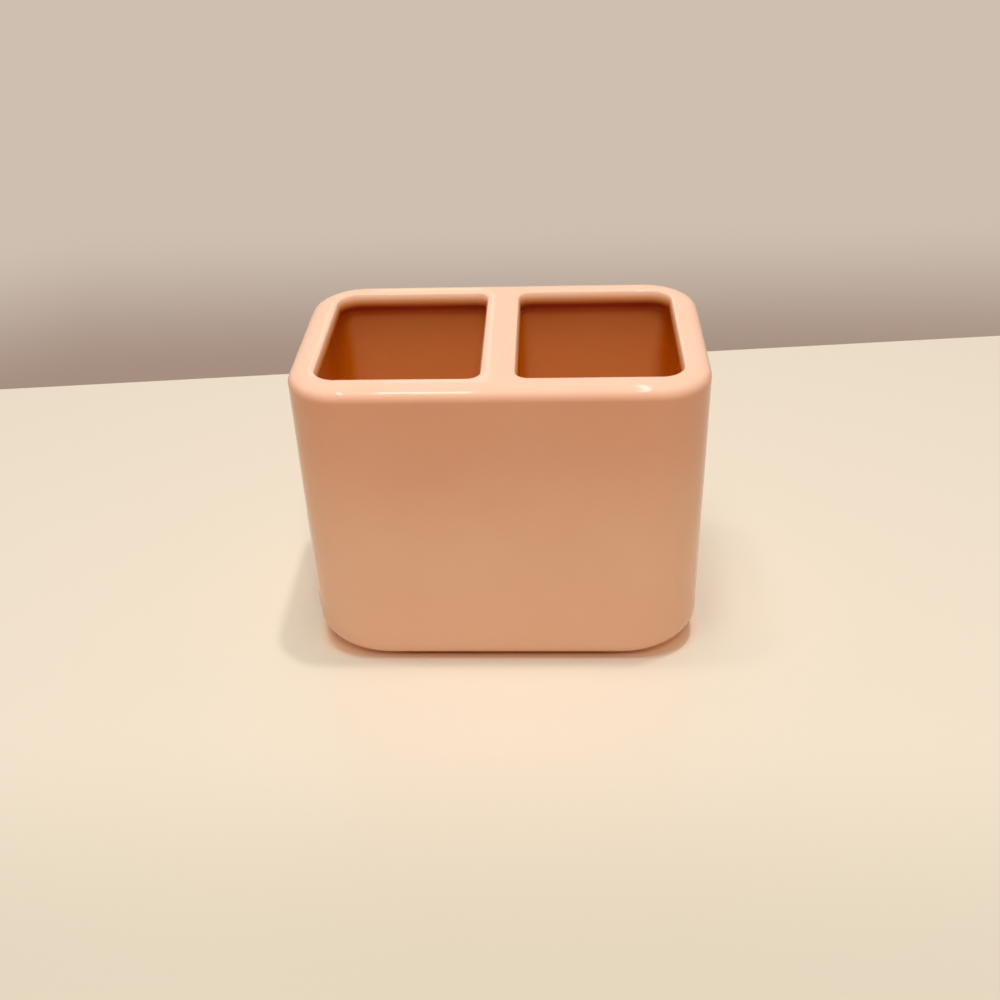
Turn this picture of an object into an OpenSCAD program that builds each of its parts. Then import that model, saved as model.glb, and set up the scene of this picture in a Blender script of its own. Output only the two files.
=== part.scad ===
// Toothbrush holder: a soft, rounded ceramic box with two rolled mouths, a wall between its
// two compartments and four non-slip pads under its base.
// Millimetres, +Z up, front towards -Y, origin on the ground under the middle of the body.

/* [Body] */
// Width of the body, left to right
body_w = 112; // [100:1:140]
// Depth of the body, front to back
body_d = 68; // [60:1:90]
// Height from the ground to the top of the rim
body_h = 89.5; // [70:0.5:130]
// Thickness of the outer walls
wall_t = 4.5; // [3:0.1:6]
// Thickness of the floor
floor_t = 5; // [3:0.1:8]
// Radius of the four upright corners, seen from above
corner_r = 15; // [10:0.5:18]
// Radius of the footprint's corners, seen from above
foot_corner_r = 18.5; // [13:0.5:20]
// Rounding under the left and right sides, seen from the front
side_round_r = 9.5; // [6:0.5:12]
// Rounding under the front and the back, seen from the side
face_round_r = 4; // [2:0.5:8]

/* [Compartments] */
// Radius of the upright inner corners at the outer walls
pocket_corner_r = 6.5; // [4:0.5:10]
// Radius of the fillets where the divider meets the walls
divider_fillet_r = 4; // [2:0.5:6]
// Rounding between the floor and the walls
pocket_floor_r = 7; // [3:0.5:12]
// How far each wall leans in between the rim and the floor
pocket_taper = 1.5; // [0:0.1:3]

/* [Divider] */
// Thickness of the divider
divider_t = 8; // [4:0.1:10]
// Depth of the grooves that hold its ends and its foot
groove_d = 1; // [0.5:0.1:2]

/* [Rim] */
// Width of the rim, from the outer face to the mouth
rim_w = 8.1; // [7:0.1:10]
// Width of the bar between the two mouths
bar_w = 10.2; // [10:0.1:14]
// Rounding of the rim's outer edge
rim_edge_r = 3.4; // [2:0.1:5]
// Radius of the gentle crown between that edge and the top
rim_crown_r = 6.2; // [4:0.1:8]
// Radius of the gentle crown on the mouth side of the rim
lip_crown_r = 5.2; // [3:0.1:7]
// Rounding of the lip below that crown
lip_edge_r = 4; // [2:0.1:5]
// Straight wall of the rim below its lips
rim_skirt_h = 2; // [1:0.5:6]
// Corner radius of the mouths at the outer walls
mouth_corner_r = 5.5; // [3:0.5:9]
// Corner radius of the mouths at the bar
mouth_bar_corner_r = 3; // [1:0.5:5]

/* [Base] */
// Width of the ring of ceramic round the base recess
foot_ring_w = 4; // [3:0.5:6]
// Depth of the base recess
recess_d = 1.2; // [0.6:0.1:1.6]
// Diameter of a pad
pad_dia = 10; // [6:0.5:12]
// Thickness of a pad
pad_t = 2; // [1.8:0.1:3]
// Gap between a pad and the straight sides of the recess
pad_gap = 4; // [3:0.5:6]

/* [Hidden] */

// Colours of the glaze and of the pads
glaze_colour = "#f0bd9f";
pad_colour = "#e6e2da";

// How far a cut runs past the solid that it cuts
overrun = 0.5;
// Steps in an upright corner, a rounded edge, a crown, an inner corner and a lip
corner_steps = 12;
round_steps = 12;
crown_steps = 5;
pocket_steps = 8;
lip_steps = 6;

// Angle to which the rim's outer edge turns before its crown takes over
rim_turn = 60;

// Angle to which the lip's edge turns, and the steeper one at which its crown takes over
lip_edge_turn = 35;
lip_crown_turn = 70;

// Angle to which the lip turns under, and the share of its overhang that the bead takes
lip_turn = 60;
lip_under_share = 0.35;

// Levels
foot_z = pad_t - recess_d;
floor_z = pad_t + floor_t;
lip_z = body_h - lip_crown_r * (1 - sin(lip_crown_turn)) - lip_edge_r * sin(lip_edge_turn);
overhang = rim_w - wall_t;
lip_curve = overhang / (1 - cos(lip_turn));
cove_z = lip_z - lip_curve * sin(lip_turn);
seam_z = cove_z - rim_skirt_h;

// Half sizes of the body, its footprint and the recess in its base
half_w = body_w / 2;
half_d = body_d / 2;
recess_half_w = half_w - side_round_r - foot_ring_w;
recess_half_d = half_d - face_round_r - foot_ring_w;
recess_corner_r = foot_corner_r - foot_ring_w;

// Inner faces of the outer walls at the seam, and the edges of a mouth
inner_half_w = half_w - wall_t;
inner_half_d = half_d - wall_t;
mouth_in_x = bar_w / 2;
mouth_out_x = half_w - rim_w;
mouth_half_d = half_d - rim_w;
bar_overhang = (bar_w - divider_t) / 2;

// Where the pads sit
pad_x = recess_half_w - pad_gap - pad_dia / 2;
pad_y = recess_half_d - pad_gap - pad_dia / 2;

// Inset of a quarter-round edge of radius r, at height h above its lowest point
function round_inset(h, r) = h < r ? r - sqrt(r * r - (r - h) * (r - h)) : 0;

// Inset and drop below the top, from the upright face of the rim over an edge of radius e, which turns
// to angle ea, to the top of a crown of radius c, which starts at angle ca
function bead(e, ea, c, ca, steps) = concat(
    [for (i = [0:steps]) let (a = ea * i / steps)
        [e * (1 - cos(a)), c * (1 - sin(ca)) + e * (sin(ea) - sin(a))]],
    [for (i = [1:crown_steps]) let (a = ca + (90 - ca) * i / crown_steps)
        [e * (1 - cos(ea)) + c * (cos(ca) - cos(a)), c * (1 - sin(a))]]);

// Points of a quarter turn round [x, y], from angle a0, at height z
function corner_arc(x, y, r, a0, steps, z) =
    [for (i = [0:steps]) let (a = a0 + 90 * i / steps) [x + r * cos(a), y + r * sin(a), z]];

// A rounded rectangle from x0 to x1 and from -y1 to y1, with radius r0 at x0 and r1 at x1
function ring(x0, x1, y1, r0, r1, steps, z) = concat(
    corner_arc(x1 - r1, y1 - r1, r1, 0, steps, z),
    corner_arc(x0 + r0, y1 - r0, r0, 90, steps, z),
    corner_arc(x0 + r0, r0 - y1, r0, 180, steps, z),
    corner_arc(x1 - r1, r1 - y1, r1, 270, steps, z));

// A closed solid through rings of equally many points, listed from the lowest to the highest
module skin(rings) {
    n = len(rings[0]);
    top = (len(rings) - 1) * n;
    points = [for (r = rings) each r];
    sides = [for (k = [0:len(rings) - 2], i = [0:n - 1]) let (j = (i + 1) % n)
        each [[k * n + i, (k + 1) * n + i, (k + 1) * n + j], [k * n + i, (k + 1) * n + j, k * n + j]]];
    polyhedron(points, concat(
        [[for (i = [0:n - 1]) i]],
        sides,
        [[for (i = [n - 1:-1:0]) top + i]]));
}

// The outline of the body, drawn in by inset_x and inset_y, at height z
function body_ring(inset_x, inset_y, r, z) =
    ring(inset_x - half_w, half_w - inset_x, half_d - inset_y, r, r, corner_steps, z);

// The outside of the body up to the seam, with its rounded foot
module body_outside() {
    round_h = max(side_round_r, face_round_r);
    foot = [for (i = [0:round_steps]) let (
        h = round_h * (1 - cos(90 * i / round_steps)),
        spread = (foot_corner_r - corner_r) * pow(1 - h / round_h, 2))
        body_ring(round_inset(h, side_round_r), round_inset(h, face_round_r), corner_r + spread, foot_z + h)];
    skin(concat(foot, [body_ring(0, 0, corner_r, seam_z)]));
}

// The space of the right compartment, from its rounded floor up to past the seam
module pocket() {
    x0 = divider_t / 2;
    depth = seam_z - floor_z;
    rise = [for (i = [0:pocket_steps]) pocket_floor_r * (1 - cos(90 * i / pocket_steps))];
    skin([for (h = concat(rise, [depth, depth + overrun])) let (
        curl = round_inset(h, pocket_floor_r),
        draw = curl + pocket_taper * (1 - min(h, depth) / depth))
        ring(x0 + curl, inner_half_w - draw, inner_half_d - draw,
             divider_fillet_r, pocket_corner_r, pocket_steps, floor_z + h)]);
}

// The space of the right mouth, from below the seam, past the lip, to above the rim
module mouth() {
    under_r = lip_curve * lip_under_share;
    cove_r = lip_curve - under_r;
    share = bar_overhang / overhang;
    cove = [for (i = [0:lip_steps]) let (a = lip_turn * i / lip_steps)
        [cove_z + cove_r * sin(a), overhang - cove_r * (1 - cos(a)), share]];
    under = [for (i = [1:lip_steps - 1]) let (a = lip_turn * (1 - i / lip_steps))
        [lip_z - under_r * sin(a), under_r * (1 - cos(a)), share]];
    lip = [for (p = bead(lip_edge_r, lip_edge_turn, lip_crown_r, lip_crown_turn, lip_steps))
        [body_h - p[1], p[0], 1]];
    past = [[body_h + overrun, lip[len(lip) - 1][1], 1]];
    profile = concat([[seam_z - overrun, overhang, share]], cove, under, lip, past);
    skin([for (p = profile) let (grow = p[1], bar_grow = p[1] * p[2])
        ring(mouth_in_x - bar_grow, mouth_out_x + grow, mouth_half_d + grow,
             mouth_bar_corner_r + bar_grow, mouth_corner_r + grow, pocket_steps, p[0])]);
}

// The right-hand form and its mirror image on the left
module both_sides() {
    children();
    mirror([1, 0, 0]) children();
}

// The slab that parts the two compartments, let into the walls and the floor
module divider_slab() {
    translate([-divider_t / 2, -inner_half_d - groove_d, floor_z - groove_d])
        cube([divider_t, 2 * (inner_half_d + groove_d), seam_z - floor_z + groove_d]);
}

// The tub: four walls and a floor with a shallow recess under it
module body_shell() {
    recess = ring(-recess_half_w, recess_half_w, recess_half_d,
                  recess_corner_r, recess_corner_r, corner_steps, 0);
    color(glaze_colour) difference() {
        body_outside();
        both_sides() pocket();
        divider_slab();
        translate([0, 0, foot_z - overrun])
            linear_extrude(recess_d + overrun) polygon([for (p = recess) [p[0], p[1]]]);
    }
}

// The wall between the compartments
module divider_wall() {
    color(glaze_colour) divider_slab();
}

// The top of the holder: rounded and softly crowned, with two lipped mouths and the bar between them
module top_rim() {
    rounded = [for (p = bead(rim_edge_r, rim_turn, rim_crown_r, rim_turn, round_steps))
        body_ring(p[0], p[0], corner_r - p[0], body_h - p[1])];
    color(glaze_colour) difference() {
        skin(concat([body_ring(0, 0, corner_r, seam_z)], rounded));
        both_sides() mouth();
    }
}

// A non-slip pad, stuck to the ceiling of the recess
module pad(side_x, side_y) {
    color(pad_colour) translate([side_x * pad_x, side_y * pad_y, 0])
        cylinder(h = pad_t, d = pad_dia, $fn = 64);
}

body_shell();
divider_wall();
top_rim();
pad(-1, -1);  // pad_front_left
pad(1, -1);  // pad_front_right
pad(-1, 1);  // pad_back_left
pad(1, 1);  // pad_back_right
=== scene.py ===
"""The looks of a two-compartment ceramic toothbrush holder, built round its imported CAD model.

Sizes in the dataclasses are in millimetres. Meshes are in metres and in the CAD frame: +Z up, front towards -Y,
origin on the ground under the middle of the body.
"""

import logging
import math
from dataclasses import dataclass
from enum import Enum

import bmesh
import bpy
from mathutils import Matrix, Vector


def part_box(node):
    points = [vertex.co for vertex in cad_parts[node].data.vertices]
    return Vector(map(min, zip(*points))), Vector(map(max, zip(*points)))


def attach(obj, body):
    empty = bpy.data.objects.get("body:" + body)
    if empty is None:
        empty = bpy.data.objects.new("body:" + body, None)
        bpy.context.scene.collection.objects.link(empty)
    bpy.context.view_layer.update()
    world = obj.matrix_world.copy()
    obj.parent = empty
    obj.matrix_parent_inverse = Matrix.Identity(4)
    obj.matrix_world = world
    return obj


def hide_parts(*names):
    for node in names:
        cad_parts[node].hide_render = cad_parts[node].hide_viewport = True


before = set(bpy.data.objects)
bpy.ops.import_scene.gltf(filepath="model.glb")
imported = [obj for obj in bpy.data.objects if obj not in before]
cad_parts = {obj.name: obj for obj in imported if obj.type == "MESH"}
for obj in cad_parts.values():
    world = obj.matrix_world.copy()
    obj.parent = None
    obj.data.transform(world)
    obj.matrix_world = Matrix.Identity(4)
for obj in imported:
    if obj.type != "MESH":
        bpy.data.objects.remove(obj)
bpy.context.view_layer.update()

LOG = logging.getLogger("toothbrush_holder")
MM = 0.001
BODY = "root"

# Attributes that the body's mesh carries: where painted light and shade lie on the glaze, how much of its waviness
# each point takes, and which faces are bare clay
CREST = "crest"
WELL_SHADE = "pool"
ENDS = "ends"
UNDERCUT_SHADE = "deep"
FLOW = "flow"
BARE = "bare"

Point = tuple[float, float, float]
Ring = list[Point]
Socket = bpy.types.NodeSocket


def linear(hex_colour: str) -> tuple[float, float, float, float]:
    """Turns an sRGB hex colour into the linear RGBA that a colour socket takes.

    Args:
        hex_colour: A colour such as "#eebb97".

    Returns:
        Linear red, green and blue, with an alpha of 1.
    """
    shares = [int(hex_colour[i:i + 2], 16) / 255 for i in (1, 3, 5)]
    red, green, blue = (s / 12.92 if s <= 0.04045 else ((s + 0.055) / 1.055) ** 2.4 for s in shares)
    return red, green, blue, 1.0


def add_node(tree: bpy.types.NodeTree, kind: str, inputs: dict[str | int, object] | None = None,
             **settings: object) -> bpy.types.Node:
    """Adds a node to a tree, sets its properties and fills or links its inputs.

    Args:
        tree: The shader, world or geometry tree.
        kind: The node's type name.
        inputs: Values to set, or output sockets to link, by the input's name or index.
        settings: The node's own properties.

    Returns:
        The new node.
    """
    node = tree.nodes.new(kind)
    for name, value in settings.items():
        setattr(node, name, value)
    for key, value in (inputs or {}).items():
        if isinstance(value, Socket):
            tree.links.new(value, node.inputs[key])
        else:
            node.inputs[key].default_value = value
    return node


def mix(a: float, b: float, share: float) -> float:
    """Returns the value that lies share of the way from a to b."""
    return a + (b - a) * share


def ease(share: float) -> float:
    """Returns a share from 0 to 1 with a soft start and a soft end."""
    held = min(max(share, 0.0), 1.0)
    return held * held * (3 - 2 * held)


def round_inset(height: float, radius: float) -> float:
    """Returns the inset of a quarter-round edge at a height above its lowest point."""
    return radius - math.sqrt(radius ** 2 - (radius - height) ** 2) if height < radius else 0.0


def quarter(steps: int) -> list[float]:
    """Returns the angles of a quarter turn, from 0 to 90 degrees, in radians."""
    return [math.pi / 2 * i / steps for i in range(steps + 1)]


class Finish:
    """A surface finish. A subclass names what it is made of and paints its node tree."""

    name = "finish"

    def material(self) -> bpy.types.Material:
        """Makes a material of the finish.

        Returns:
            The new material, with its Principled shader wired up.
        """
        material = bpy.data.materials.new(self.name)
        material.use_nodes = True
        tree = material.node_tree
        tree.nodes.clear()
        shader = add_node(tree, "ShaderNodeBsdfPrincipled")
        add_node(tree, "ShaderNodeOutputMaterial", {"Surface": shader.outputs["BSDF"]})
        self.paint(tree, shader)
        return material

    def paint(self, tree: bpy.types.NodeTree, shader: bpy.types.Node) -> None:
        """Wires the finish's colour, gloss and relief.

        Args:
            tree: The material's node tree.
            shader: Its Principled shader.
        """
        raise NotImplementedError


@dataclass(frozen=True)
class GlossGlaze(Finish):
    """Peach gloss glaze on slip-cast stoneware, sprayed and fired.

    It gives the eye an even peach under a glassy skin: clear lamp reflections, a hint of cloudiness and a very
    slight waviness of the reflections. Painted light and shade lie in its colour: painted bounce light makes the
    wall lighter towards the foot and deeper in tone below the rim, and the brightly lit top of the rim is painted
    paler.
    Painted shade turns the compartments a deeper orange, more saturated along their ends, and the undercut of the
    lips a burnt orange, where the glaze also has a softer sheen.
    """

    name: str = "peach_gloss_glaze"
    # Painted bounce light: the wall is lighter towards the foot and deeper in tone below the rim
    low_colour: str = "#f7bd95"
    high_colour: str = "#eda67d"
    low_mm: float = 28.0
    high_mm: float = 90.0
    # Painted light: the paler tone of the brightly lit rim top
    lit_rim_colour: str = "#f1c0a2"
    # Painted shade: the deeper orange inside the compartments
    pooled_colour: str = "#f0a158"
    # Painted shade: the more saturated orange of the compartments' end walls
    end_colour: str = "#eb9010"
    # Painted shade: the burnt orange in the undercut of the lips
    deep_colour: str = "#ad4406"
    roughness: float = 0.045
    roughness_spread: float = 0.02
    deep_roughness: float = 0.45
    ior: float = 1.5
    cloud_mm: float = 34.0
    cloud_detail: float = 3.0
    cloud_low: float = 0.3
    cloud_high: float = 0.7
    cloud_share: float = 0.12
    ripple_mm: float = 7.0
    ripple_detail: float = 2.0
    ripple_softness: float = 0.4
    ripple_height_mm: float = 0.012

    def paint(self, tree: bpy.types.NodeTree, shader: bpy.types.Node) -> None:
        """Wires the peach colour with its painted light and shade, low roughness and a faint ripple.

        Args:
            tree: The material's node tree.
            shader: Its Principled shader.
        """
        place = add_node(tree, "ShaderNodeTexCoord").outputs["Object"]
        cloud = add_node(tree, "ShaderNodeTexNoise", {
            "Vector": place, "Scale": 1 / (self.cloud_mm * MM), "Detail": self.cloud_detail}).outputs["Fac"]
        # Painted bounce light: lighter towards the foot, deeper in tone below the rim
        height = add_node(tree, "ShaderNodeSeparateXYZ", {0: place}).outputs["Z"]
        depth = add_node(tree, "ShaderNodeMapRange", {
            "Value": height, "From Min": self.low_mm * MM, "From Max": self.high_mm * MM},
            interpolation_type="SMOOTHSTEP")
        drift = add_node(tree, "ShaderNodeMapRange", {
            "Value": cloud, "From Min": self.cloud_low, "From Max": self.cloud_high,
            "To Min": -self.cloud_share, "To Max": self.cloud_share})
        clouded = add_node(tree, "ShaderNodeMath", {0: depth.outputs["Result"], 1: drift.outputs["Result"]},
                           operation="ADD", use_clamp=True)
        colour = add_node(tree, "ShaderNodeMix", {
            "Factor": clouded.outputs[0], 6: linear(self.low_colour), 7: linear(self.high_colour)},
            data_type="RGBA")
        # Painted light and shade: the lit rim top paler, and shade in the compartments, along their ends and under
        # the lips
        tones = {CREST: self.lit_rim_colour, WELL_SHADE: self.pooled_colour, ENDS: self.end_colour, UNDERCUT_SHADE: self.deep_colour}
        for name, tone in tones.items():
            amount = add_node(tree, "ShaderNodeAttribute", attribute_name=name)
            colour = add_node(tree, "ShaderNodeMix", {
                "Factor": amount.outputs["Fac"], 6: colour.outputs[2], 7: linear(tone)}, data_type="RGBA")
        deep = add_node(tree, "ShaderNodeAttribute", attribute_name=UNDERCUT_SHADE)
        gloss = add_node(tree, "ShaderNodeMapRange", {
            "Value": cloud, "From Min": self.cloud_low, "From Max": self.cloud_high,
            "To Min": self.roughness, "To Max": self.roughness + self.roughness_spread})
        sheen = add_node(tree, "ShaderNodeMath", {
            0: deep.outputs["Fac"], 1: self.deep_roughness, 2: gloss.outputs["Result"]}, operation="MULTIPLY_ADD")
        ripple = add_node(tree, "ShaderNodeTexNoise", {
            "Vector": place, "Scale": 1 / (self.ripple_mm * MM), "Detail": self.ripple_detail,
            "Roughness": self.ripple_softness})
        relief = add_node(tree, "ShaderNodeBump", {
            "Height": ripple.outputs["Fac"], "Distance": self.ripple_height_mm * MM})
        tree.links.new(colour.outputs[2], shader.inputs["Base Color"])
        tree.links.new(sheen.outputs[0], shader.inputs["Roughness"])
        tree.links.new(relief.outputs["Normal"], shader.inputs["Normal"])
        shader.inputs["IOR"].default_value = self.ior


@dataclass(frozen=True)
class BareBisque(Finish):
    """Fired clay with no glaze, where the foot is wiped clean for the kiln shelf.

    It gives the eye a dry, pale, finely gritty band with no highlight.
    """

    name: str = "bare_bisque_clay"
    colour: str = "#e3cdb4"
    grit_colour: str = "#cbb097"
    roughness: float = 0.85
    grit_mm: float = 0.45
    grit_detail: float = 4.0
    grit_sharpness: float = 0.65
    grit_height_mm: float = 0.05
    grit_strength: float = 0.8
    spots_from: float = 0.5
    spots_full: float = 0.72

    def paint(self, tree: bpy.types.NodeTree, shader: bpy.types.Node) -> None:
        """Wires a dry clay colour with fine grit.

        Args:
            tree: The material's node tree.
            shader: Its Principled shader.
        """
        place = add_node(tree, "ShaderNodeTexCoord").outputs["Object"]
        grit = add_node(tree, "ShaderNodeTexNoise", {
            "Vector": place, "Scale": 1 / (self.grit_mm * MM), "Detail": self.grit_detail,
            "Roughness": self.grit_sharpness})
        spots = add_node(tree, "ShaderNodeMapRange", {
            "Value": grit.outputs["Fac"], "From Min": self.spots_from, "From Max": self.spots_full})
        colour = add_node(tree, "ShaderNodeMix", {
            "Factor": spots.outputs["Result"], 6: linear(self.colour), 7: linear(self.grit_colour)},
            data_type="RGBA")
        relief = add_node(tree, "ShaderNodeBump", {
            "Height": grit.outputs["Fac"], "Distance": self.grit_height_mm * MM,
            "Strength": self.grit_strength})
        tree.links.new(colour.outputs[2], shader.inputs["Base Color"])
        tree.links.new(relief.outputs["Normal"], shader.inputs["Normal"])
        shader.inputs["Roughness"].default_value = self.roughness


@dataclass(frozen=True)
class ClosedCellFoam(Finish):
    """Die-cut closed-cell foam of a non-slip pad.

    It gives the eye a matt off-white with a fine skin of small cells.
    """

    name: str = "closed_cell_foam"
    colour: str = "#e6e2da"
    cell_colour: str = "#cfcac0"
    roughness: float = 0.7
    cell_mm: float = 0.5
    cell_depth_mm: float = 0.08
    cell_strength: float = 0.7
    rim_from: float = 0.25
    rim_full: float = 0.7

    def paint(self, tree: bpy.types.NodeTree, shader: bpy.types.Node) -> None:
        """Wires an off-white colour with small cells.

        Args:
            tree: The material's node tree.
            shader: Its Principled shader.
        """
        place = add_node(tree, "ShaderNodeTexCoord").outputs["Object"]
        cells = add_node(tree, "ShaderNodeTexVoronoi", {
            "Vector": place, "Scale": 1 / (self.cell_mm * MM)}, feature="F1")
        rims = add_node(tree, "ShaderNodeMapRange", {
            "Value": cells.outputs["Distance"], "From Min": self.rim_from, "From Max": self.rim_full})
        colour = add_node(tree, "ShaderNodeMix", {
            "Factor": rims.outputs["Result"], 6: linear(self.cell_colour), 7: linear(self.colour)},
            data_type="RGBA")
        relief = add_node(tree, "ShaderNodeBump", {
            "Height": rims.outputs["Result"], "Distance": self.cell_depth_mm * MM,
            "Strength": self.cell_strength})
        tree.links.new(colour.outputs[2], shader.inputs["Base Color"])
        tree.links.new(relief.outputs["Normal"], shader.inputs["Normal"])
        shader.inputs["Roughness"].default_value = self.roughness


@dataclass(frozen=True)
class CounterTop(Finish):
    """The polished pale top that the holder stands on. Only the stage wears it.

    It gives the eye a soft polish, with painted shade that darkens it towards the front. Round the holder's foot it
    carries painted bounce light: a peach tint, and a warm glow under the rounded ends that it gives off as
    emission.
    """

    name: str = "polished_counter"
    colour: str = "#e0d2bd"
    # Painted shade: the counter is darker towards the front
    front_colour: str = "#d3c6b1"
    front_mm: float = -140.0
    back_mm: float = -62.0
    squareness: float = 6.0
    # Painted bounce light: the peach tint round the holder's foot
    tint_colour: str = "#e7b17f"
    tint_start: float = 1.05
    tint_full: float = 0.92
    # Painted bounce light given off as emission: the warm glow under the holder's rounded ends
    glow_colour: str = "#ffd7b3"
    glow_level: float = 0.11
    glow_start: float = 1.1
    glow_from_mm: float = 25.0
    glow_full_mm: float = 52.0
    roughness: float = 0.12
    sheen_level: float = 0.3

    def reach(self, tree: bpy.types.NodeTree, axes: bpy.types.Node) -> Socket:
        """Measures how far a point lies from the middle of the holder's footprint.

        Args:
            tree: The material's node tree.
            axes: The node that gives the point's place along each axis.

        Returns:
            A socket that is 0 in the middle and 1 along the edge of a rounded rectangle of the holder's size.
        """
        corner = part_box("body_shell")[1]
        powers = []
        for axis, half in (("X", corner.x), ("Y", corner.y)):
            share = add_node(tree, "ShaderNodeMath", {0: axes.outputs[axis], 1: half}, operation="DIVIDE")
            size = add_node(tree, "ShaderNodeMath", {0: share.outputs[0]}, operation="ABSOLUTE")
            powers.append(add_node(tree, "ShaderNodeMath", {0: size.outputs[0], 1: self.squareness},
                                   operation="POWER").outputs[0])
        total = add_node(tree, "ShaderNodeMath", {0: powers[0], 1: powers[1]}, operation="ADD")
        return add_node(tree, "ShaderNodeMath", {0: total.outputs[0], 1: 1 / self.squareness},
                        operation="POWER").outputs[0]

    def paint(self, tree: bpy.types.NodeTree, shader: bpy.types.Node) -> None:
        """Wires the pale tone with its painted shade and the painted bounce light round the holder, and sets the
        polish.

        Args:
            tree: The material's node tree.
            shader: Its Principled shader.
        """
        place = add_node(tree, "ShaderNodeTexCoord").outputs["Object"]
        axes = add_node(tree, "ShaderNodeSeparateXYZ", {0: place})
        # Painted shade: darker towards the front
        back = add_node(tree, "ShaderNodeMapRange", {
            "Value": axes.outputs["Y"], "From Min": self.front_mm * MM, "From Max": self.back_mm * MM},
            interpolation_type="SMOOTHSTEP")
        tone = add_node(tree, "ShaderNodeMix", {
            "Factor": back.outputs["Result"], 6: linear(self.front_colour), 7: linear(self.colour)},
            data_type="RGBA")
        reach = self.reach(tree, axes)
        # Painted bounce light: a peach tint round the holder's foot
        under = add_node(tree, "ShaderNodeMapRange", {
            "Value": reach, "From Min": self.tint_start, "From Max": self.tint_full},
            interpolation_type="SMOOTHSTEP")
        colour = add_node(tree, "ShaderNodeMix", {
            "Factor": under.outputs["Result"], 6: tone.outputs[2], 7: linear(self.tint_colour)},
            data_type="RGBA")
        # Painted bounce light: an emitted warm glow under the holder's rounded ends
        away = add_node(tree, "ShaderNodeMath", {0: axes.outputs["X"]}, operation="ABSOLUTE")
        ends = add_node(tree, "ShaderNodeMapRange", {
            "Value": away.outputs[0], "From Min": self.glow_from_mm * MM, "From Max": self.glow_full_mm * MM,
            "To Max": self.glow_level}, interpolation_type="SMOOTHSTEP")
        near = add_node(tree, "ShaderNodeMapRange", {
            "Value": reach, "From Min": self.glow_start, "From Max": self.tint_full},
            interpolation_type="SMOOTHSTEP")
        glow = add_node(tree, "ShaderNodeMath", {0: near.outputs["Result"], 1: ends.outputs["Result"]},
                        operation="MULTIPLY")
        tree.links.new(colour.outputs[2], shader.inputs["Base Color"])
        tree.links.new(glow.outputs[0], shader.inputs["Emission Strength"])
        shader.inputs["Emission Color"].default_value = linear(self.glow_colour)
        shader.inputs["Roughness"].default_value = self.roughness
        shader.inputs["Specular IOR Level"].default_value = self.sheen_level


class Zone(Enum):
    """How a band of the body's surface is finished."""

    GLAZED = 0
    BARE = 1


class GeometryTree:
    """A geometry tree with named inputs, made plain on the object that uses it."""

    def __init__(self, name: str) -> None:
        """Starts a tree that takes a geometry and gives one back.

        Args:
            name: The tree's name.
        """
        self.tree = bpy.data.node_groups.new(name, "GeometryNodeTree")
        self.values: dict[str, object] = {}
        self.add_socket("Geometry", "NodeSocketGeometry", "INPUT")
        self.add_socket("Geometry", "NodeSocketGeometry", "OUTPUT")
        self.inputs = self.tree.nodes.new("NodeGroupInput")

    def add_socket(self, name: str, kind: str, side: str) -> bpy.types.NodeTreeInterfaceSocket:
        """Adds an input or an output to the tree and returns its socket in the interface."""
        return self.tree.interface.new_socket(name=name, in_out=side, socket_type=kind)

    def ask(self, name: str, kind: str, value: object) -> Socket:
        """Adds a named input with the value that this object sets.

        Args:
            name: The input's name.
            kind: The socket's type name.
            value: What the modifier sets it to.

        Returns:
            The socket that brings the value into the tree.
        """
        socket = self.add_socket(name, kind, "INPUT")
        self.values[socket.identifier] = value
        return self.inputs.outputs[name]

    def node(self, kind: str, inputs: dict[str | int, object] | None = None, **settings: object) -> bpy.types.Node:
        """Adds a node to the tree. Args and return are those of add_node."""
        return add_node(self.tree, kind, inputs, **settings)

    def end(self, geometry: Socket, *materials: tuple[Socket, Socket | None]) -> None:
        """Ends the tree with Realize Instances and a Set Material for each material.

        Args:
            geometry: What the tree has made.
            materials: Each material's socket, with the selection that wears it, or None for all of it.
        """
        made = self.node("GeometryNodeRealizeInstances", {"Geometry": geometry}).outputs["Geometry"]
        for material, selection in materials:
            wanted = {"Geometry": made, "Material": material}
            if selection is not None:
                wanted["Selection"] = selection
            made = self.node("GeometryNodeSetMaterial", wanted).outputs["Geometry"]
        self.node("NodeGroupOutput", {"Geometry": made})

    def make_plain(self, piece: bpy.types.Object) -> None:
        """Runs the tree on a piece and leaves the result in it as a plain mesh.

        Args:
            piece: The mesh object that the tree takes.
        """
        modifier = piece.modifiers.new(self.tree.name, "NODES")
        modifier.node_group = self.tree
        for identifier, value in self.values.items():
            modifier[identifier] = value
        evaluated = piece.evaluated_get(bpy.context.evaluated_depsgraph_get())
        plain = bpy.data.meshes.new_from_object(evaluated)
        plain.name = piece.name
        piece.modifiers.remove(modifier)
        piece.data = plain


def new_piece(name: str, build: bmesh.types.BMesh) -> bpy.types.Object:
    """Turns a bmesh in millimetres into an object at the origin, in metres.

    Args:
        name: The object's name.
        build: The mesh, which is freed.

    Returns:
        The new object, linked to the scene.
    """
    bmesh.ops.scale(build, vec=(MM, MM, MM), verts=build.verts)
    mesh = bpy.data.meshes.new(name)
    build.to_mesh(mesh)
    build.free()
    mesh.shade_smooth()
    piece = bpy.data.objects.new(name, mesh)
    bpy.context.scene.collection.objects.link(piece)
    return piece


@dataclass
class Station:
    """One ring of the inside of the right compartment.

    Attributes:
        height: Its height above the ground.
        inner_x: Where it lies nearest to the divider.
        outer_x: Where it lies nearest to the end wall.
        half_depth: Half its size from front to back.
        inner_r: Its corner radius at the divider.
        outer_r: Its corner radius at the end wall.
        lip_shade: How much painted shade it takes under the lip, from 0 to 1.
    """

    height: float
    inner_x: float
    outer_x: float
    half_depth: float
    inner_r: float
    outer_r: float
    lip_shade: float = 0.0


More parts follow.
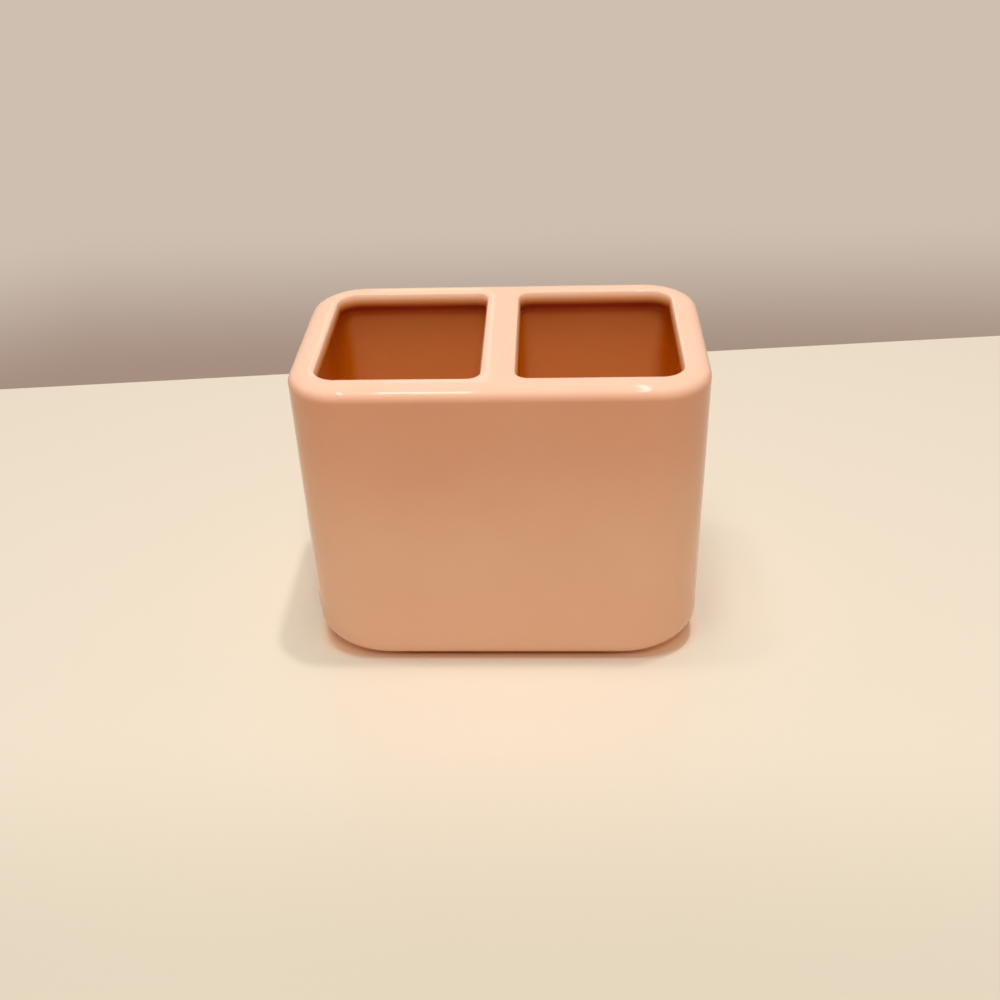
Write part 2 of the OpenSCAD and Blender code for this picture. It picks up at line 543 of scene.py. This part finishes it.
@dataclass
class CeramicBody:
    """The ceramic body. Tub, divider and lipped rim are luted together and glazed over, so one skin shows.

    The right half is built from rings of matched points and mirrored. Its outer rings run from the middle of the
    front, round the right end, to the middle of the back. At the top they close along the middle line and turn into
    the rings of the mouth, which run down the inside to the floor of the compartment.

    Attributes:
        pocket_taper: How far each outer wall of a compartment leans in on the way down.
        corner_blend: How far below the undercut a corner's radius has become that of the compartment.
        lip_under_share: The share of the lip's overhang that its lower bead takes.
        lap_turn_share: Where the glaze's soft edge at the recess has its middle point, as a share of its size.
        pool_fall: How far below the lip the compartment's painted shade is full.
        lip_shade_reach: How soon the lip's turn gives the fullest painted shade. At 2 that is halfway round.
        lip_shade_tail: How much painted shade is left at the foot of the undercut, from 0 to 1.
        lip_shade_fall: How far below the undercut the painted shade has faded out.
        end_reach: How far from a compartment's ends the painted shade of its end walls begins.
        divider_lead: How much less far it reaches on the divider's side.
        end_blend: Over what width it comes in.
    """

    # The outside
    corner_r: float = 15.0
    foot_corner_r: float = 18.5
    side_round_r: float = 9.5
    face_round_r: float = 4.0

    # The walls, the floor and the compartments
    wall_t: float = 4.5
    floor_t: float = 5.0
    pocket_corner_r: float = 6.5
    divider_fillet_r: float = 4.0
    pocket_floor_r: float = 7.0
    pocket_taper: float = 1.5
    corner_blend: float = 16.0

    # The rim, the bar and the lips of the mouths
    rim_w: float = 8.1
    bar_w: float = 10.2
    rim_edge_r: float = 3.4
    rim_crown_r: float = 6.2
    rim_turn: float = math.radians(60)
    lip_edge_r: float = 4.0
    lip_edge_turn: float = math.radians(35)
    lip_crown_r: float = 5.2
    lip_crown_turn: float = math.radians(70)
    lip_turn: float = math.radians(60)
    lip_under_share: float = 0.35
    mouth_corner_r: float = 5.5
    mouth_bar_corner_r: float = 3.0

    # The base: its foot ring, its recess and how far the glaze laps onto the ring
    foot_ring_w: float = 4.0
    recess_d: float = 1.2
    glaze_lap: float = 0.8
    glaze_t: float = 0.15
    lap_turn_share: float = 0.3

    # How the painted shade lies in the compartments and under the lips
    pool_fall: float = 1.2
    lip_shade_reach: float = 1.3
    lip_shade_tail: float = 0.24
    lip_shade_fall: float = 9.0
    end_reach: float = 6.0
    divider_lead: float = 2.5
    end_blend: float = 3.0

    # The faint waves in the glaze
    wave_mm: float = 26.0
    wave_height_mm: float = 0.12
    wave_detail: float = 1.0
    wave_seed: float = 3.0

    # The steps of the mesh, and its rings between a pole and an edge, as shares of the way out
    bar_steps: int = 4
    face_steps: int = 12
    corner_steps: int = 16
    crown_steps: int = 6
    end_steps: int = 12
    divider_steps: int = 16
    wall_rings: int = 14
    ceiling_shares: tuple[float, ...] = (0.2, 0.4, 0.6, 0.8, 0.95, 1.0)
    floor_shares: tuple[float, ...] = (0.2, 0.4, 0.6, 0.8)
    weld: float = 0.001
    smoothing: int = 1

    def __post_init__(self) -> None:
        """Takes the overall sizes from the CAD nodes."""
        rim_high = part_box("top_rim")[1] / MM
        divider_low, divider_high = (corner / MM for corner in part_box("divider_wall"))
        self.half_w = rim_high.x
        self.half_d = rim_high.y
        self.top_z = rim_high.z
        self.foot_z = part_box("body_shell")[0].z / MM
        self.half_divider = (divider_high.x - divider_low.x) / 2
        self.ceiling_z = self.foot_z + self.recess_d
        self.floor_z = self.ceiling_z + self.floor_t
        self.inner_half_w = self.half_w - self.wall_t
        self.inner_half_d = self.half_d - self.wall_t
        self.mouth_in_x = self.bar_w / 2
        self.mouth_out_x = self.half_w - self.rim_w
        self.mouth_half_d = self.half_d - self.rim_w
        self.overhang = self.rim_w - self.wall_t
        self.bar_share = (self.mouth_in_x - self.half_divider) / self.overhang
        self.rim_profile = self.bead(self.rim_edge_r, self.rim_turn, self.rim_crown_r, self.rim_turn)
        self.lip_profile = self.bead(self.lip_edge_r, self.lip_edge_turn, self.lip_crown_r, self.lip_crown_turn)
        self.lip_z = self.top_z - self.lip_profile[0][1]
        self.shoulder_z = self.top_z - self.lip_profile[self.end_steps][1]
        self.lip_curve = self.overhang / (1 - math.cos(self.lip_turn))
        self.cove_z = self.lip_z - self.lip_curve * math.sin(self.lip_turn)
        self.build = bmesh.new()
        shares = self.build.verts.layers.float
        self.crest, self.pool, self.ends, self.deep, self.flow = (
            shares.new(name) for name in (CREST, WELL_SHADE, ENDS, UNDERCUT_SHADE, FLOW))
        self.bare = self.build.faces.layers.bool.new(BARE)

    def bead(self, edge_r: float, edge_turn: float, crown_r: float,
             crown_turn: float) -> list[tuple[float, float, float]]:
        """Draws the profile of one side of the rim, from its upright face over its edge to the top of its crown.

        Args:
            edge_r: The rounding of the edge.
            edge_turn: The angle to which the edge turns.
            crown_r: The radius of the gentle crown that takes over from it.
            crown_turn: The angle at which the crown starts.

        Returns:
            Inset, drop below the top and crest share of each point.
        """
        crown_drop = crown_r * (1 - math.sin(crown_turn))
        crown_inset = edge_r * (1 - math.cos(edge_turn))
        edge = [edge_turn * i / self.end_steps for i in range(self.end_steps + 1)]
        crown = [mix(crown_turn, math.pi / 2, i / self.crown_steps) for i in range(1, self.crown_steps + 1)]
        profile = [(edge_r * (1 - math.cos(a)), crown_drop + edge_r * (math.sin(edge_turn) - math.sin(a)),
                    ease(a / edge_turn)) for a in edge]
        profile += [(crown_inset + crown_r * (math.cos(crown_turn) - math.cos(a)), crown_r * (1 - math.sin(a)), 1.0)
                    for a in crown]
        return profile

    def outer_ring(self, inset_x: float, inset_y: float, radius: float, height: float) -> Ring:
        """Draws the right half of the body's outline.

        Args:
            inset_x: How far the ends are drawn in.
            inset_y: How far the front and the back are drawn in.
            radius: The corner radius.
            height: The height above the ground.

        Returns:
            Its points, from the middle of the front, round the end, to the middle of the back.
        """
        half_w = self.half_w - inset_x
        half_d = self.half_d - inset_y
        straight = half_w - radius
        near_bar = min(self.mouth_in_x + self.mouth_bar_corner_r, straight / 2)
        front = [(near_bar * i / self.bar_steps, -half_d, height) for i in range(self.bar_steps)]
        front += [(mix(near_bar, straight, i / self.face_steps), -half_d, height) for i in range(self.face_steps)]
        front += [(straight + radius * math.sin(a), radius - half_d - radius * math.cos(a), height)
                  for a in quarter(self.corner_steps)]
        end = half_d - radius
        middle = [(half_w, mix(-end, end, i / self.end_steps), height) for i in range(1, self.end_steps)]
        return front + middle + [(x, -y, z) for x, y, z in reversed(front)]

    def middle_line(self, half_depth: float, height: float) -> Ring:
        """Draws the middle line between the two ends of an outer ring.

        Args:
            half_depth: Half the outer ring's size from front to back.
            height: The height above the ground.

        Returns:
            The points that close the outer ring, from the back to the front.
        """
        corner = self.rim_w + self.mouth_bar_corner_r - (self.half_d - half_depth)
        stops = [(half_depth, 0), (half_depth - corner, self.bar_steps),
                 (corner - half_depth, self.bar_steps + self.divider_steps),
                 (-half_depth, 2 * self.bar_steps + self.divider_steps)]
        points = []
        for (y0, i0), (y1, i1) in zip(stops, stops[1:]):
            points += [(0.0, mix(y0, y1, i / (i1 - i0)), height) for i in range(i1 - i0)]
        return points[1:]

    def inner_ring(self, at: Station) -> Ring:
        """Draws a closed ring of the right compartment, matched point by point with a closed outer ring.

        Args:
            at: Where the ring lies.

        Returns:
            Its points, which start in the front corner at the divider.
        """
        x0, x1, y1, z = at.inner_x, at.outer_x, at.half_depth, at.height
        inner = x0 + at.inner_r
        outer = x1 - at.outer_r
        eighth = [math.pi / 4 * i / self.bar_steps for i in range(self.bar_steps + 1)]
        bar = [(inner - at.inner_r * math.sin(a), at.inner_r - y1 - at.inner_r * math.cos(a), z)
               for a in reversed(eighth)]
        front = bar[:-1] + [(mix(inner, outer, i / self.face_steps), -y1, z) for i in range(self.face_steps)]
        front += [(outer + at.outer_r * math.sin(a), at.outer_r - y1 - at.outer_r * math.cos(a), z)
                  for a in quarter(self.corner_steps)]
        end = y1 - at.outer_r
        middle = [(x1, mix(-end, end, i / self.end_steps), z) for i in range(1, self.end_steps)]
        half = front + middle + [(x, -y, z) for x, y, z in reversed(front)]
        turn = [(inner - at.inner_r * math.cos(a), y1 - at.inner_r + at.inner_r * math.sin(a), z)
                for a in reversed(eighth[:-1])]
        side = y1 - at.inner_r
        divider = [(x0, mix(side, -side, i / self.divider_steps), z) for i in range(1, self.divider_steps)]
        return half + turn + divider + [(x, -y, z) for x, y, z in reversed(turn)]

    def add_ring(self, ring: Ring, crest: float = 0.0, pool: float = 0.0,
                 flow: float = 1.0) -> list[bmesh.types.BMVert]:
        """Adds a ring's points to the mesh.

        Args:
            ring: The points.
            crest: How much of the painted light of the rim's top it takes, from 0 to 1.
            pool: How much of the compartment's painted shade it takes, from 0 to 1.
            flow: How much of the glaze's waviness it takes, from 0 to 1.

        Returns:
            The new vertices.
        """
        verts = [self.build.verts.new(point) for point in ring]
        for vert in verts:
            vert[self.crest] = crest
            vert[self.pool] = pool
            vert[self.flow] = flow
        return verts

    def skin(self, rings: list[list[bmesh.types.BMVert]], closed: bool, zone: Zone = Zone.GLAZED) -> None:
        """Joins neighbouring rings with faces.

        Args:
            rings: Rings of equally many vertices.
            closed: Whether each ring's end joins its start.
            zone: How the band is finished.
        """
        for low, high in zip(rings, rings[1:]):
            for i in range(len(low) if closed else len(low) - 1):
                j = (i + 1) % len(low)
                corners = list(dict.fromkeys([low[i], low[j], high[j], high[i]]))
                if len(corners) > 2:
                    self.build.faces.new(corners)[self.bare] = zone is Zone.BARE

    def foot_ring(self, inset: float, height: float) -> list[bmesh.types.BMVert]:
        """Adds a ring of the foot, an inset in from its outer edge, at a height above the ground."""
        return self.add_ring(self.outer_ring(self.side_round_r + inset, self.face_round_r + inset,
                                             self.foot_corner_r - inset, height), flow=0.0)

    def underside(self) -> list[bmesh.types.BMVert]:
        """Builds the recess in the base and the foot round it.

        Returns:
            The foot's outer ring.
        """
        recess_x = self.side_round_r + self.foot_ring_w
        recess_y = self.face_round_r + self.foot_ring_w
        recess_r = self.foot_corner_r - self.foot_ring_w
        edge = self.outer_ring(recess_x, recess_y, recess_r, self.ceiling_z)
        pole = self.build.verts.new((0.0, 0.0, self.ceiling_z))
        ceiling = [[pole] * len(edge)]
        ceiling += [self.add_ring([(x * share, y * share, z) for x, y, z in edge], flow=0.0)
                    for share in self.ceiling_shares]
        soft = self.glaze_lap / 2
        turn = soft * self.lap_turn_share
        wall = [self.add_ring(self.outer_ring(recess_x - inset, recess_y - inset, recess_r + inset, height),
                              flow=0.0)
                for inset, height in ((0.0, self.foot_z + soft), (turn, self.foot_z + turn),
                                      (soft, self.foot_z), (self.glaze_lap, self.foot_z))]
        self.skin(ceiling + wall, closed=False)
        lip = self.glaze_lap + self.glaze_t
        bare_z = self.foot_z + self.glaze_t
        bare = [self.foot_ring(inset, bare_z) for inset in (self.foot_ring_w - lip, self.foot_ring_w / 2, lip)]
        lap = self.foot_ring(self.glaze_lap, self.foot_z)
        self.skin([wall[-1], bare[0]], closed=False)
        self.skin(bare, closed=False, zone=Zone.BARE)
        self.skin([bare[-1], lap], closed=False)
        return lap

    def outside(self, foot: list[bmesh.types.BMVert]) -> list[bmesh.types.BMVert]:
        """Builds the outside, from the foot over the rim's outer edge to the flat top.

        Args:
            foot: The foot's outer ring.

        Returns:
            The last ring, at the top.
        """
        round_h = max(self.side_round_r, self.face_round_r)
        rings = [foot]
        for a in quarter(self.corner_steps):
            h = round_h * (1 - math.cos(a))
            spread = (self.foot_corner_r - self.corner_r) * (1 - h / round_h) ** 2
            ring = self.outer_ring(round_inset(h, self.side_round_r), round_inset(h, self.face_round_r),
                                   self.corner_r + spread, self.foot_z + h)
            rings.append(self.add_ring(ring, flow=ease(h / round_h)))
        low = self.foot_z + round_h
        high = self.top_z - self.rim_profile[0][1]
        rings += [self.add_ring(self.outer_ring(0, 0, self.corner_r, mix(low, high, i / self.wall_rings)))
                  for i in range(1, self.wall_rings)]
        # Painted light: the rim's outer edge turns to the paler lit top
        for inset, drop, crest in self.rim_profile:
            ring = self.outer_ring(inset, inset, self.corner_r - inset, self.top_z - drop)
            rings.append(self.add_ring(ring, crest=crest))
        self.skin(rings, closed=False)
        return rings[-1]

    def stations(self) -> list[Station]:
        """Lays out the rings of the compartment.

        Returns:
            The rings, from the top of the lip to the floor.
        """
        under_r = self.lip_curve * self.lip_under_share
        cove_r = self.lip_curve - under_r
        turns = [self.lip_turn * i / self.end_steps for i in range(self.end_steps + 1)]
        profile = [(self.top_z - drop, inset, 1.0, 0.0) for inset, drop, _ in reversed(self.lip_profile)]
        # Painted shade under the lip: strongest in the undercut, fading down the wall
        for a in turns:
            lip_shade = ease(self.lip_shade_reach * a / self.lip_turn)
            profile.append((self.lip_z - under_r * math.sin(a), under_r * (1 - math.cos(a)), self.bar_share, lip_shade))
        for a in reversed(turns[:-1]):
            lip_shade = mix(self.lip_shade_tail, 1.0, ease(self.lip_shade_reach * a / self.lip_turn))
            profile.append((self.cove_z + cove_r * math.sin(a), self.overhang - cove_r * (1 - math.cos(a)),
                            self.bar_share, lip_shade))
        found = [Station(z, self.mouth_in_x - grow * share, self.mouth_out_x + grow, self.mouth_half_d + grow,
                         self.mouth_bar_corner_r + grow * share, self.mouth_corner_r + grow, lip_shade)
                 for z, grow, share, lip_shade in profile]
        last = found[-1]
        depth = self.cove_z - self.floor_z
        straight = depth - self.pocket_floor_r
        drops = [straight * i / self.wall_rings for i in range(1, self.wall_rings)]
        drops += [depth - self.pocket_floor_r * (1 - math.sin(a)) for a in quarter(self.end_steps)]
        for drop in drops:
            curl = round_inset(depth - drop, self.pocket_floor_r)
            draw = self.pocket_taper * ease(drop / depth) + curl
            turned = ease(drop / self.corner_blend)
            found.append(Station(self.cove_z - drop, self.half_divider + curl, self.inner_half_w - draw,
                                 self.inner_half_d - draw, mix(last.inner_r, self.divider_fillet_r, turned),
                                 mix(last.outer_r, self.pocket_corner_r, turned),
                                 self.lip_shade_tail * (1 - ease(drop / self.lip_shade_fall))))
        return found

    def inside(self, top: list[bmesh.types.BMVert]) -> None:
        """Builds the flat top, the lip, the undercut and the compartment down to its floor.

        Args:
            top: The last ring of the outside, at the top.
        """
        flat_half_d = self.half_d - self.rim_profile[-1][0]
        middle = self.add_ring(self.middle_line(flat_half_d, self.top_z), crest=1.0)
        stations = self.stations()
        lip = self.inner_ring(stations[0])
        edge = [tuple(vert.co) for vert in top + middle]
        halfway = self.add_ring([tuple((p + q) / 2 for p, q in zip(a, b)) for a, b in zip(edge, lip)], crest=1.0)
        rings = [top + middle, halfway]
        for at in stations:
            # Painted light: the paler lit top runs down the lip to its edge
            crest = ease((at.height - self.lip_z) / (self.shoulder_z - self.lip_z))
            # Painted shade: the compartment is painted a deeper orange below the lip
            pool = ease((self.shoulder_z - at.height) / (self.shoulder_z - self.lip_z + self.pool_fall))
            ring = self.add_ring(self.inner_ring(at), crest=crest, pool=pool, flow=1 - pool)
            for vert in ring:
                # Painted shade: the end walls of each compartment are painted more saturated
                from_end = min(vert.co.x - self.half_divider + self.divider_lead,
                               self.inner_half_w - vert.co.x)
                vert[self.ends] = ease((self.end_reach - from_end) / self.end_blend) * pool
                # Painted shade under the lip
                vert[self.deep] = at.lip_shade
            rings.append(ring)
        floor = stations[-1]
        centre = Vector(((floor.inner_x + floor.outer_x) / 2, 0.0, floor.height))
        last = self.inner_ring(floor)
        rings += [self.add_ring([tuple(centre.lerp(Vector(point), share)) for point in last], pool=1.0, flow=0.0)
                  for share in reversed(self.floor_shares)]
        self.skin(rings, closed=True)
        pole = self.build.verts.new(centre)
        pole[self.pool] = 1.0
        self.skin([rings[-1], [pole] * len(last)], closed=True)

    def mirror(self) -> None:
        """Mirrors the right half to the left, welds the two along the middle and turns every face outwards."""
        bmesh.ops.mirror(self.build, geom=self.build.verts[:] + self.build.edges[:] + self.build.faces[:],
                         matrix=Matrix.Identity(4), merge_dist=self.weld, axis="X")
        bmesh.ops.remove_doubles(self.build, verts=self.build.verts, dist=self.weld)
        bmesh.ops.recalc_face_normals(self.build, faces=self.build.faces)

    def glaze(self, piece: bpy.types.Object, glaze: bpy.types.Material, clay: bpy.types.Material) -> None:
        """Smooths the body and lets the glaze lie in faint waves, always inside the CAD form.

        Args:
            piece: The body.
            glaze: What it wears.
            clay: What its foot wears.
        """
        flow = GeometryTree("glaze_flow")
        height = flow.ask("Wave Height", "NodeSocketFloat", self.wave_height_mm * MM)
        length = flow.ask("Wave Length", "NodeSocketFloat", self.wave_mm * MM)
        seed = flow.ask("Seed", "NodeSocketFloat", self.wave_seed)
        level = flow.ask("Smoothing", "NodeSocketInt", self.smoothing)
        worn = flow.ask("Glaze", "NodeSocketMaterial", glaze)
        foot = flow.ask("Clay", "NodeSocketMaterial", clay)
        smooth = flow.node("GeometryNodeSubdivisionSurface", {
            "Mesh": flow.inputs.outputs["Geometry"], "Level": level})
        rate = flow.node("ShaderNodeMath", {0: 1.0, 1: length}, operation="DIVIDE")
        place = flow.node("GeometryNodeInputPosition")
        wave = flow.node("ShaderNodeTexNoise", {
            "Vector": place.outputs[0], "W": seed, "Scale": rate.outputs[0], "Detail": self.wave_detail},
            noise_dimensions="4D")
        below = flow.node("ShaderNodeMath", {0: wave.outputs["Fac"], 1: 1.0}, operation="SUBTRACT")
        share = flow.node("GeometryNodeInputNamedAttribute", {"Name": FLOW}, data_type="FLOAT")
        held = flow.node("ShaderNodeMath", {0: below.outputs[0], 1: share.outputs[0]}, operation="MULTIPLY")
        reach = flow.node("ShaderNodeMath", {0: held.outputs[0], 1: height}, operation="MULTIPLY")
        normal = flow.node("GeometryNodeInputNormal")
        step = flow.node("ShaderNodeVectorMath", {0: normal.outputs[0], "Scale": reach.outputs[0]},
                         operation="SCALE")
        moved = flow.node("GeometryNodeSetPosition", {
            "Geometry": smooth.outputs[0], "Offset": step.outputs[0]})
        bare = flow.node("GeometryNodeInputNamedAttribute", {"Name": BARE}, data_type="BOOLEAN")
        flow.end(moved.outputs[0], (worn, None), (foot, bare.outputs[0]))
        flow.make_plain(piece)

    def make(self) -> bpy.types.Object:
        """Builds and dresses the body.

        Returns:
            Its object.
        """
        self.inside(self.outside(self.underside()))
        self.mirror()
        piece = new_piece("glazed_body", self.build)
        self.glaze(piece, GlossGlaze().material(), BareBisque().material())
        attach(piece, BODY)
        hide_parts("body_shell", "divider_wall", "top_rim")
        return piece


@dataclass
class NonSlipPads:
    """The four foam pads under the base, die-cut from one sheet and stuck to the ceiling of the recess."""

    edge_r: float = 0.35
    edge_steps: int = 4
    around: int = 48
    face_shares: tuple[float, ...] = (0.35, 0.7)
    nodes: tuple[str, ...] = ("pad_front_left", "pad_front_right", "pad_back_left", "pad_back_right")

    def pad(self) -> bmesh.types.BMesh:
        """Builds one pad with softened edges.

        Returns:
            Its mesh, standing on the ground under the origin.
        """
        low, high = (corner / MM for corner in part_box(self.nodes[0]))
        radius = (high.x - low.x) / 2
        thickness = high.z - low.z
        build = bmesh.new()
        turn = [self.edge_r * (1 - math.cos(a)) for a in quarter(self.edge_steps)]
        rise = [self.edge_r * (1 - math.sin(a)) for a in quarter(self.edge_steps)]
        profile = [(radius * share, 0.0) for share in self.face_shares]
        profile += [(radius - inset, height) for inset, height in zip(reversed(turn), reversed(rise))]
        profile += [(radius - inset, thickness - height) for inset, height in zip(turn, rise)]
        profile += [(radius * share, thickness) for share in reversed(self.face_shares)]
        angles = [math.tau * i / self.around for i in range(self.around)]
        rings = [[build.verts.new((r * math.cos(a), r * math.sin(a), z)) for a in angles] for r, z in profile]
        for lower, upper in zip(rings, rings[1:]):
            for i in range(self.around):
                j = (i + 1) % self.around
                build.faces.new((lower[i], lower[j], upper[j], upper[i]))
        for ring, height in ((rings[0], 0.0), (rings[-1], thickness)):
            pole = build.verts.new((0.0, 0.0, height))
            for i in range(self.around):
                build.faces.new((pole, ring[i], ring[(i + 1) % self.around]))
        bmesh.ops.recalc_face_normals(build, faces=build.faces)
        return build

    def make(self) -> bpy.types.Object:
        """Builds one pad, sets a copy in each corner of the recess and dresses them.

        Returns:
            One object with all four.
        """
        piece = new_piece("non_slip_pads", self.pad())
        low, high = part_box("pad_back_right")
        place = (low + high) / 2
        tree = GeometryTree("pads_in_corners")
        size_x = tree.ask("Spacing X", "NodeSocketFloat", 2 * place.x)
        size_y = tree.ask("Spacing Y", "NodeSocketFloat", 2 * place.y)
        foam = tree.ask("Foam", "NodeSocketMaterial", ClosedCellFoam().material())
        grid = tree.node("GeometryNodeMeshGrid", {"Size X": size_x, "Size Y": size_y, "Vertices X": 2,
                                                  "Vertices Y": 2})
        copies = tree.node("GeometryNodeInstanceOnPoints", {
            "Points": grid.outputs["Mesh"], "Instance": tree.inputs.outputs["Geometry"]})
        tree.end(copies.outputs["Instances"], (foam, None))
        tree.make_plain(piece)
        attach(piece, BODY)
        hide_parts(*self.nodes)
        return piece


@dataclass
class ViewCamera:
    """The camera, at the photograph's viewing angle. Its values were fitted to the body's outline and mouths."""

    place: Point = (14.9, -296.4, 232.5)
    look_down: float = math.radians(33.83)
    turn_left: float = math.radians(3.25)
    roll: float = math.radians(-2.15)
    focal_px: float = 1183.0
    frame_px: float = 1000.0
    sensor_mm: float = 36.0
    nearest_mm: float = 10.0

    def make(self) -> None:
        """Creates the camera and makes it the scene's."""
        data = bpy.data.cameras.new("view_camera")
        data.sensor_width = self.sensor_mm
        data.lens = self.focal_px / self.frame_px * self.sensor_mm
        data.clip_start = self.nearest_mm * MM
        camera = bpy.data.objects.new("view_camera", data)
        aim = (Matrix.Rotation(self.turn_left, 4, "Z") @ Matrix.Rotation(math.pi / 2 - self.look_down, 4, "X")
               @ Matrix.Rotation(self.roll, 4, "Z"))
        camera.matrix_world = Matrix.Translation(Vector(self.place) * MM) @ aim
        bpy.context.scene.collection.objects.link(camera)
        bpy.context.scene.camera = camera


@dataclass
class Lamp:
    """A rectangular lamp over the stage, facing the holder.

    Attributes:
        name: What it is.
        place: Its middle, in millimetres.
        width: Its size from left to right.
        depth: Its size from front to back.
        share: How much of the light that makes a level white surface white comes from it.
        mirrored: Whether gloss shows its reflection.
    """

    name: str
    place: Point
    width: float
    depth: float
    share: float
    mirrored: bool = True

    def make(self) -> None:
        """Creates the lamp."""
        data = bpy.data.lights.new(self.name, "AREA")
        data.shape = "RECTANGLE"
        data.size = self.width * MM
        data.size_y = self.depth * MM
        lamp = bpy.data.objects.new(self.name, data)
        lamp.location = Vector(self.place) * MM
        away = lamp.location - Vector((0.0, 0.0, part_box("top_rim")[1].z / 2))
        # A white level surface shows power * z / (pi^2 * r^3), z below the lamp and r away from it
        data.energy = self.share * math.pi ** 2 * away.length ** 3 / away.z
        depthwise = away.cross(Vector((1.0, 0.0, 0.0))).normalized()
        lamp.rotation_euler = Matrix((depthwise.cross(away).normalized(), depthwise,
                                      away.normalized())).transposed().to_euler()
        lamp.visible_camera = False
        lamp.visible_glossy = self.mirrored
        bpy.context.scene.collection.objects.link(lamp)


@dataclass
class Stage:
    """The plain counter, the backdrop and the light. None of it is part of the holder.

    The counter's back edge runs a little askew, as it is seen in the view. The backdrop is the world: a pale tone
    with painted shade that darkens it towards the counter, a little lower in the middle than at the sides.
    """

    counter_back: float = 156.0
    counter_turn: float = math.radians(5.26)
    counter_front: float = -1500.0
    half_width: float = 1800.0
    counter_t: float = 30.0
    ambient: float = 0.2
    ambient_colour: str = "#ffffff"
    # The backdrop's painted shade: the high colour darkens to the low colour towards the counter
    high_colour: str = "#cebfb0"
    low_colour: str = "#a68f81"
    high_slope: float = -0.325
    low_slope: float = -0.435
    bow: float = 0.026
    bow_reach: float = 0.37

    def counter(self) -> None:
        """Adds the counter."""
        build = bmesh.new()
        bmesh.ops.create_cube(build, size=1.0)
        size = (2 * self.half_width, self.counter_back - self.counter_front, self.counter_t)
        bmesh.ops.scale(build, vec=size, verts=build.verts)
        middle = (0.0, (self.counter_back + self.counter_front) / 2, -self.counter_t / 2)
        bmesh.ops.translate(build, vec=middle, verts=build.verts)
        bmesh.ops.rotate(build, cent=(0.0, self.counter_back, 0.0), verts=build.verts,
                         matrix=Matrix.Rotation(self.counter_turn, 3, "Z"))
        piece = new_piece("counter", build)
        piece.data.shade_flat()
        piece.data.materials.append(CounterTop().material())

    def world(self) -> None:
        """Lights the scene with an even ambient, and shows the backdrop to the eye and in reflections."""
        world = bpy.data.worlds.new("soft_room")
        world.use_nodes = True
        tree = world.node_tree
        tree.nodes.clear()
        ray = add_node(tree, "ShaderNodeLightPath")
        sharp = add_node(tree, "ShaderNodeMath", {0: ray.outputs["Is Glossy Ray"],
                                                  1: ray.outputs["Is Transmission Ray"]}, operation="MAXIMUM")
        seen = add_node(tree, "ShaderNodeMath", {0: ray.outputs["Is Camera Ray"], 1: sharp.outputs[0]},
                        operation="MAXIMUM")
        towards = add_node(tree, "ShaderNodeTexCoord").outputs["Generated"]
        axes = add_node(tree, "ShaderNodeSeparateXYZ", {0: towards})
        aside = add_node(tree, "ShaderNodeMath", {0: axes.outputs["X"], 1: self.bow_reach}, operation="DIVIDE")
        square = add_node(tree, "ShaderNodeMath", {0: aside.outputs[0], 1: aside.outputs[0]}, operation="MULTIPLY")
        middle = add_node(tree, "ShaderNodeMath", {0: 1.0, 1: square.outputs[0]}, operation="SUBTRACT",
                          use_clamp=True)
        slope = add_node(tree, "ShaderNodeMath", {0: middle.outputs[0], 1: self.bow, 2: axes.outputs["Z"]},
                         operation="MULTIPLY_ADD")
        # Painted shade: the backdrop darkens towards the counter
        height = add_node(tree, "ShaderNodeMapRange", {
            "Value": slope.outputs[0], "From Min": self.low_slope, "From Max": self.high_slope},
            interpolation_type="SMOOTHSTEP")
        tone = add_node(tree, "ShaderNodeMix", {
            "Factor": height.outputs["Result"], 6: linear(self.low_colour), 7: linear(self.high_colour)},
            data_type="RGBA")
        ambient = add_node(tree, "ShaderNodeBackground", {
            "Color": linear(self.ambient_colour), "Strength": self.ambient})
        backdrop = add_node(tree, "ShaderNodeBackground", {"Color": tone.outputs[2]})
        either = add_node(tree, "ShaderNodeMixShader", {0: seen.outputs[0], 1: ambient.outputs[0],
                                                        2: backdrop.outputs[0]})
        add_node(tree, "ShaderNodeOutputWorld", {"Surface": either.outputs[0]})
        bpy.context.scene.world = world

    def lamps(self) -> tuple[Lamp, ...]:
        """Lists the lamps.

        Returns:
            The soft light, which the gloss doesn't mirror, then the panels, which it does.
        """
        return (
            Lamp("high_softbox", (0.0, -100.0, 2000.0), 600.0, 600.0, 0.415, mirrored=False),
            Lamp("front_softbox", (120.0, -1200.0, 1800.0), 500.0, 500.0, 0.225, mirrored=False),
            Lamp("left_lamp", (-300.0, 12.0, 1300.0), 130.0, 50.0, 0.065, mirrored=False),
            Lamp("right_lamp", (137.0, 12.0, 1300.0), 45.0, 45.0, 0.24, mirrored=False),
            Lamp("back_fill", (-250.0, 1500.0, 360.0), 900.0, 300.0, 0.02, mirrored=False),
            Lamp("wide_panel", (-160.0, -330.0, 1300.0), 132.0, 420.0, 0.062),
            Lamp("narrow_panel", (-287.0, -330.0, 1300.0), 22.0, 380.0, 0.02),
            Lamp("tall_panel", (132.0, -60.0, 1300.0), 12.0, 1150.0, 0.028),
            Lamp("back_panel", (-155.0, 1230.0, 600.0), 150.0, 400.0, 0.003),
        )

    def make(self) -> None:
        """Builds the counter, the lamps and the world."""
        self.counter()
        for lamp in self.lamps():
            lamp.make()
            LOG.info("lamp %s", lamp.name)
        self.world()


def main() -> None:
    """Builds the camera, the pieces and the stage in order, and reports each piece."""
    logging.basicConfig(level=logging.INFO, format="%(name)s: %(message)s")
    bpy.context.scene.view_settings.view_transform = "Standard"
    ViewCamera().make()
    for part in (CeramicBody(), NonSlipPads()):
        piece = part.make()
        LOG.info("piece %s: %d faces", piece.name, len(piece.data.polygons))
    Stage().make()


if __name__ == "__main__":
    main()
